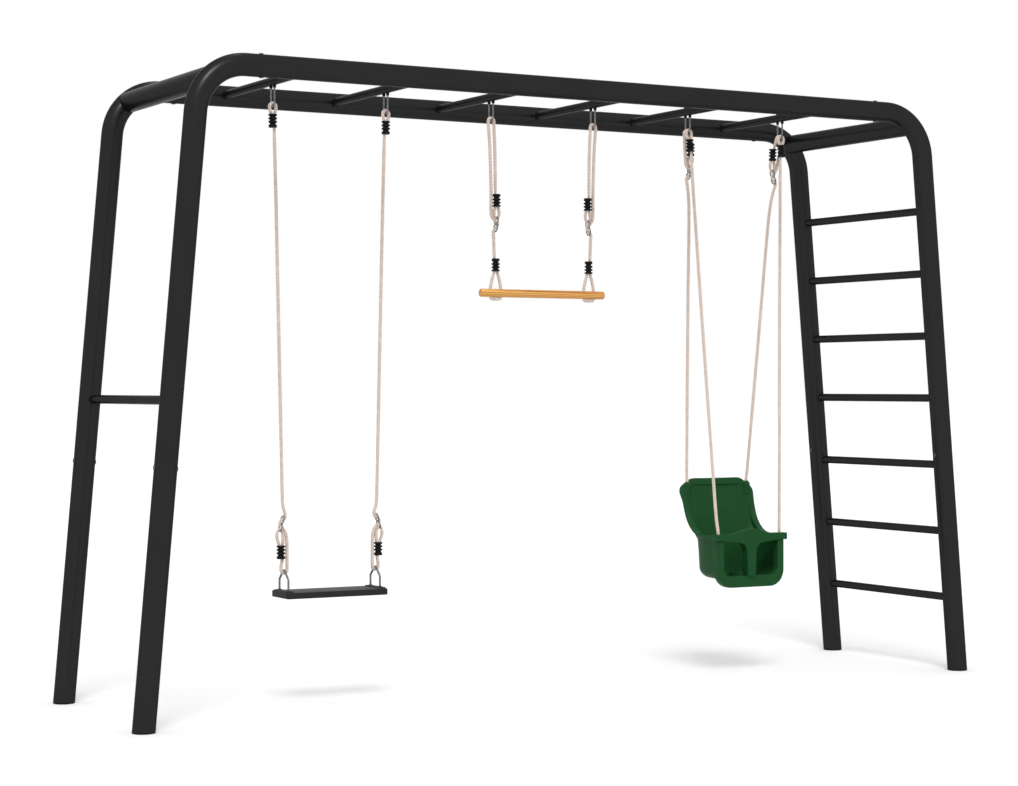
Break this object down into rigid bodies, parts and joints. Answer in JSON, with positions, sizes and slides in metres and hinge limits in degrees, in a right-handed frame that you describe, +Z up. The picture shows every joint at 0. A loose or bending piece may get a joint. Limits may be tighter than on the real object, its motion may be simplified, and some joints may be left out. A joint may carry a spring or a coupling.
{
  "type": "monkey bar swing frame",
  "caption": "Free-standing tubular monkey bar frame with a ladder end, an overhead ladder, a belt-height swing, a trapeze bar and a bucket seat on ropes.",
  "frame": {"origin": "on the ground, in the middle of the frame's length and depth", "axes": "+X along the frame towards the ladder end, +Y from the front to the back, +Z up"},
  "size_m": [3.6002, 0.9172, 2.3125],
  "materials": {
    "powder_coat": "satin near-black powder coat",
    "black_plastic": "matte",
    "zinc_steel": "dark zinc",
    "galvanised_steel": "galvanised",
    "rope": "twisted polypropylene",
    "rubber": "matte",
    "pine": "varnished",
    "green_plastic": "moulded, slightly glossy"
  },
  "bodies": {
    "frame": {"front_rail": "powder_coat", "back_rail": "powder_coat", "upper_leg_front_left": "powder_coat", "upper_leg_front_right": "powder_coat", "upper_leg_back_left": "powder_coat", "upper_leg_back_right": "powder_coat", "lower_leg_front_left": "powder_coat", "lower_leg_front_right": "powder_coat", "lower_leg_back_left": "powder_coat", "lower_leg_back_right": "powder_coat", "cross_tube_left": "powder_coat", "cross_tube_right": "powder_coat", "overhead_rung_1": "powder_coat", "overhead_rung_2": "powder_coat", "overhead_rung_3": "powder_coat", "overhead_rung_4": "powder_coat", "overhead_rung_5": "powder_coat", "overhead_rung_6": "powder_coat", "ladder_rung_1": "powder_coat", "ladder_rung_2": "powder_coat", "ladder_rung_3": "powder_coat", "ladder_rung_4": "powder_coat", "ladder_rung_5": "powder_coat", "ladder_rung_6": "powder_coat", "ladder_rung_7": "powder_coat", "side_bar": "powder_coat", "foot_plugs": "black_plastic", "joint_sleeves": "zinc_steel", "joint_bolts": "zinc_steel", "hanger_1": "galvanised_steel", "hanger_2": "galvanised_steel", "hanger_3": "galvanised_steel", "hanger_4": "galvanised_steel", "hanger_5": "galvanised_steel", "hanger_6": "galvanised_steel", "hanger_nuts": "black_plastic"},
    "swing": {"swing_rope_left": "rope", "swing_rope_right": "rope", "swing_ferrules": "black_plastic", "swing_adjusters": "galvanised_steel"},
    "swing_seat": {"swing_seat": "rubber", "stirrup_left": "galvanised_steel", "stirrup_right": "galvanised_steel"},
    "trapeze": {"trapeze_bar": "pine", "trapeze_rope_left": "rope", "trapeze_rope_right": "rope", "trapeze_ferrules": "black_plastic", "trapeze_adjusters": "galvanised_steel"},
    "bucket": {"bucket_shell": "green_plastic", "bucket_guard": "green_plastic", "bucket_front_rope_left": "rope", "bucket_front_rope_right": "rope", "bucket_back_rope_left": "rope", "bucket_back_rope_right": "rope", "bucket_ferrules": "black_plastic", "bucket_adjusters": "galvanised_steel", "bucket_knots": "rope"}
  },
  "joints": [
    {"name": "swing_hinge", "type": "hinge", "parent": "frame", "child": "swing", "pos_m": [-0.911, -0.07, 2.196], "axis": [1, 0, 0], "range_deg": [-60, 60]},
    {"name": "swing_seat_hinge", "type": "hinge", "parent": "swing", "child": "swing_seat", "pos_m": [-0.911, -0.07, 0.486], "axis": [1, 0, 0], "range_deg": [-30, 30]},
    {"name": "trapeze_hinge", "type": "hinge", "parent": "frame", "child": "trapeze", "pos_m": [0, -0.055, 2.196], "axis": [1, 0, 0], "range_deg": [-60, 60]},
    {"name": "bucket_hinge", "type": "hinge", "parent": "frame", "child": "bucket", "pos_m": [0.911, -0.04, 2.196], "axis": [1, 0, 0], "range_deg": [-45, 45]}
  ]
}
